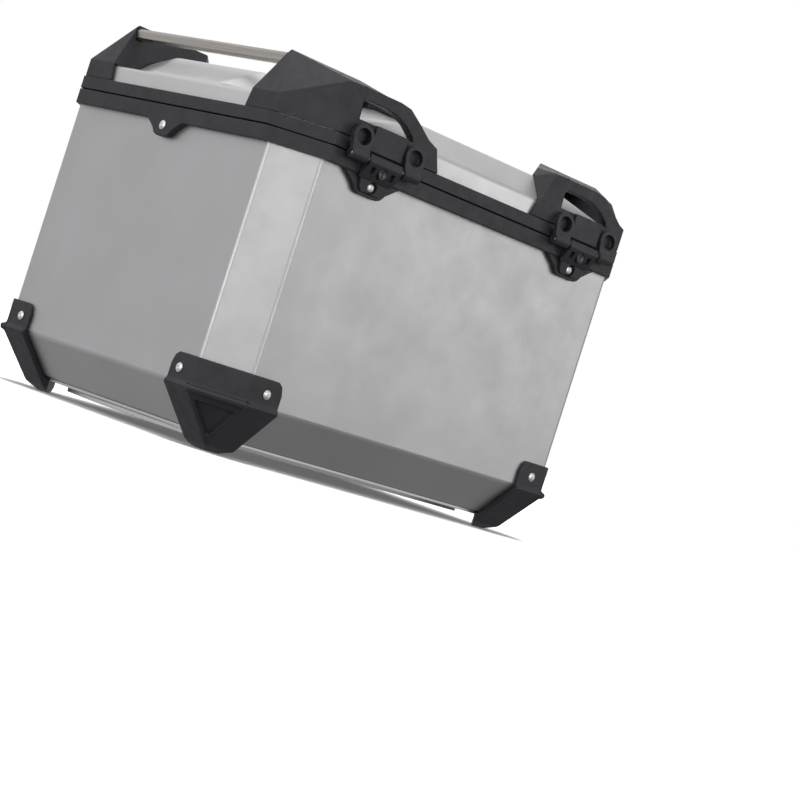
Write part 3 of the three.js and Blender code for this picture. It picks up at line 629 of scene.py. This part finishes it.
def eased_parts():
    """Mouldings, plates and bars, each with its own edge rounding."""
    for quarter in QUARTERS:
        eased(f"lid_corner_{quarter}", 0.0009, 3, 20, join_flats=False)
        eased(f"corner_guard_{quarter}", 0.0010, 3, 14)
        eased(f"latch_bracket_{quarter}", 0.0005, 3)
    eased("body_frame", 0.0007, join_flats=False)
    eased("lid_frame", 0.0007, join_flats=False)
    eased("rim_seal", 0.0005, join_flats=False)
    eased("floor_plate", 0.0003, 2)
    eased("adapter_plate", 0.0005, 2)
    for end in ENDS:
        eased(f"grab_bar_{end}", 0.0006, 3)


# ---------------------------------------------------------------- studio

CAMERA_PLACE = Vector((-1.4312, -1.6220, 0.0736))
CAMERA_AZIMUTH = math.radians(-44.17)
CAMERA_ELEVATION = math.radians(-0.4545)
CAMERA_ROLL = math.radians(17.657)
CAMERA_LENS = 105.447


def camera():
    """A long lens, low behind the right rear corner and rolled to one side."""
    az, el = CAMERA_AZIMUTH, CAMERA_ELEVATION
    back = Vector((math.sin(az) * math.cos(el), -math.cos(az) * math.cos(el), math.sin(el)))
    right = Vector((math.cos(az), math.sin(az), 0))
    up = back.cross(right)
    rolled_right = math.cos(CAMERA_ROLL) * right + math.sin(CAMERA_ROLL) * up
    rolled_up = -math.sin(CAMERA_ROLL) * right + math.cos(CAMERA_ROLL) * up
    data = bpy.data.cameras.new("camera")
    data.lens = CAMERA_LENS
    data.sensor_width = 36
    made = bpy.data.objects.new("camera", data)
    bpy.context.scene.collection.objects.link(made)
    made.matrix_world = Matrix((rolled_right, rolled_up, back)).transposed().to_4x4()
    made.location = CAMERA_PLACE
    bpy.context.scene.camera = made


def area_light(name, place, target, size, power):
    data = bpy.data.lights.new(name, "AREA")
    data.shape = "RECTANGLE"
    data.size, data.size_y = size
    data.energy = power
    made = bpy.data.objects.new(name, data)
    bpy.context.scene.collection.objects.link(made)
    made.location = place
    made.rotation_mode = "QUATERNION"
    made.rotation_quaternion = (Vector(target) - Vector(place)).to_track_quat("-Z", "Y")


FLOOR_RADIUS = 14
FLOOR_SIDES = 64
# name, place, size and power of each light
LIGHTS = (
    ("key", (-2.3, -2.35, 0.8), (1.6, 1.6), 10),
    ("strip_left", (-3.0, 0.0, 0.7), (0.5, 1.8), 12),
    ("strip_right", (0.0, -3.0, 0.7), (0.5, 1.8), 12),
    ("side", (2.3, -2.3, 0.8), (1.6, 1.6), 9),
    ("top", (-0.2, -0.3, 2.8), (2.4, 2.4), 24),
    ("back", (2.2, 2.4, 0.9), (1.8, 1.8), 16),
)
# brightness of the room from straight down (0) to straight up (1), and on its dim and bright sides
ROOM = ((0, 0.2), (0.4, 0.36), (0.5, 0.6), (0.62, 0.7), (1, 0.82))
ROOM_SIDES = (0.74, 1.24)


def studio():
    """Floor, its own light, the room and the soft lights."""
    low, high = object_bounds()
    bm = bmesh.new()
    turns = (2 * math.pi * i / FLOOR_SIDES for i in range(FLOOR_SIDES))
    ring = [
        bm.verts.new((FLOOR_RADIUS * math.cos(a), FLOOR_RADIUS * math.sin(a), low.z)) for a in turns
    ]
    bm.faces.new(ring)
    mesh = finish_mesh("floor", bm)
    floor = bpy.data.objects.new("floor", mesh)
    bpy.context.scene.collection.objects.link(floor)
    mesh.materials.append(studio_floor())
    floor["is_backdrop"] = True

    flood_data = bpy.data.lights.new("floor_light", "SUN")
    flood_data.energy = 4
    flood_data.angle = math.radians(40)
    flood = bpy.data.objects.new("floor_light", flood_data)
    bpy.context.scene.collection.objects.link(flood)
    lit = bpy.data.collections.new("floor_only")
    lit.objects.link(floor)
    flood.light_linking.receiver_collection = lit
    floor.visible_glossy = False
    floor.visible_diffuse = False

    sky()
    middle = (low + high) / 2
    for name, place, size, power in LIGHTS:
        area_light(name, place, middle, size, power)
    bpy.context.scene.view_settings.view_transform = "Standard"


def sky():
    """A white backdrop, and a dimmer room that fades towards the ground."""
    world = bpy.data.worlds.new("studio")
    world.use_nodes = True
    tree = world.node_tree
    background = tree.nodes["Background"]
    coordinates = tree.nodes.new("ShaderNodeTexCoord")
    split = tree.nodes.new("ShaderNodeSeparateXYZ")
    ramp = tree.nodes.new("ShaderNodeValToRGB")
    spread = tree.nodes.new("ShaderNodeMapRange")
    spread.inputs["From Min"].default_value = -1
    tree.links.new(coordinates.outputs["Generated"], split.inputs["Vector"])
    tree.links.new(split.outputs["Z"], spread.inputs["Value"])
    tree.links.new(spread.outputs["Result"], ramp.inputs["Fac"])
    stops = ramp.color_ramp.elements
    for place, shade in ROOM:
        stop = stops[0] if place == 0 else stops[1] if place == 1 else stops.new(place)
        stop.position = place
        stop.color = (shade, shade, shade * 1.02, 1)
    rays = tree.nodes.new("ShaderNodeLightPath")
    mix = tree.nodes.new("ShaderNodeMix")
    mix.data_type = "RGBA"
    mix.inputs["B"].default_value = (1, 1, 1, 1)
    tree.links.new(rays.outputs["Is Camera Ray"], mix.inputs["Factor"])
    lean = tree.nodes.new("ShaderNodeMath")
    lean.operation = "SUBTRACT"
    tree.links.new(split.outputs["Y"], lean.inputs[0])
    tree.links.new(split.outputs["X"], lean.inputs[1])
    share = tree.nodes.new("ShaderNodeMapRange")
    for name, number in zip(RANGE_INPUTS, (-1, 1, *ROOM_SIDES)):
        share.inputs[name].default_value = number
    tree.links.new(lean.outputs["Value"], share.inputs["Value"])
    dim = tree.nodes.new("ShaderNodeVectorMath")
    dim.operation = "SCALE"
    tree.links.new(ramp.outputs["Color"], dim.inputs[0])
    tree.links.new(share.outputs["Result"], dim.inputs["Scale"])
    tree.links.new(dim.outputs["Vector"], mix.inputs["A"])
    tree.links.new(mix.outputs["Result"], background.inputs["Color"])
    bpy.context.scene.world = world


dress_nodes()
body_skin()
lid_skin()
rivets()
shafts()
locks()
bolts()
hasp_arms()
eased_parts()
camera()
studio()
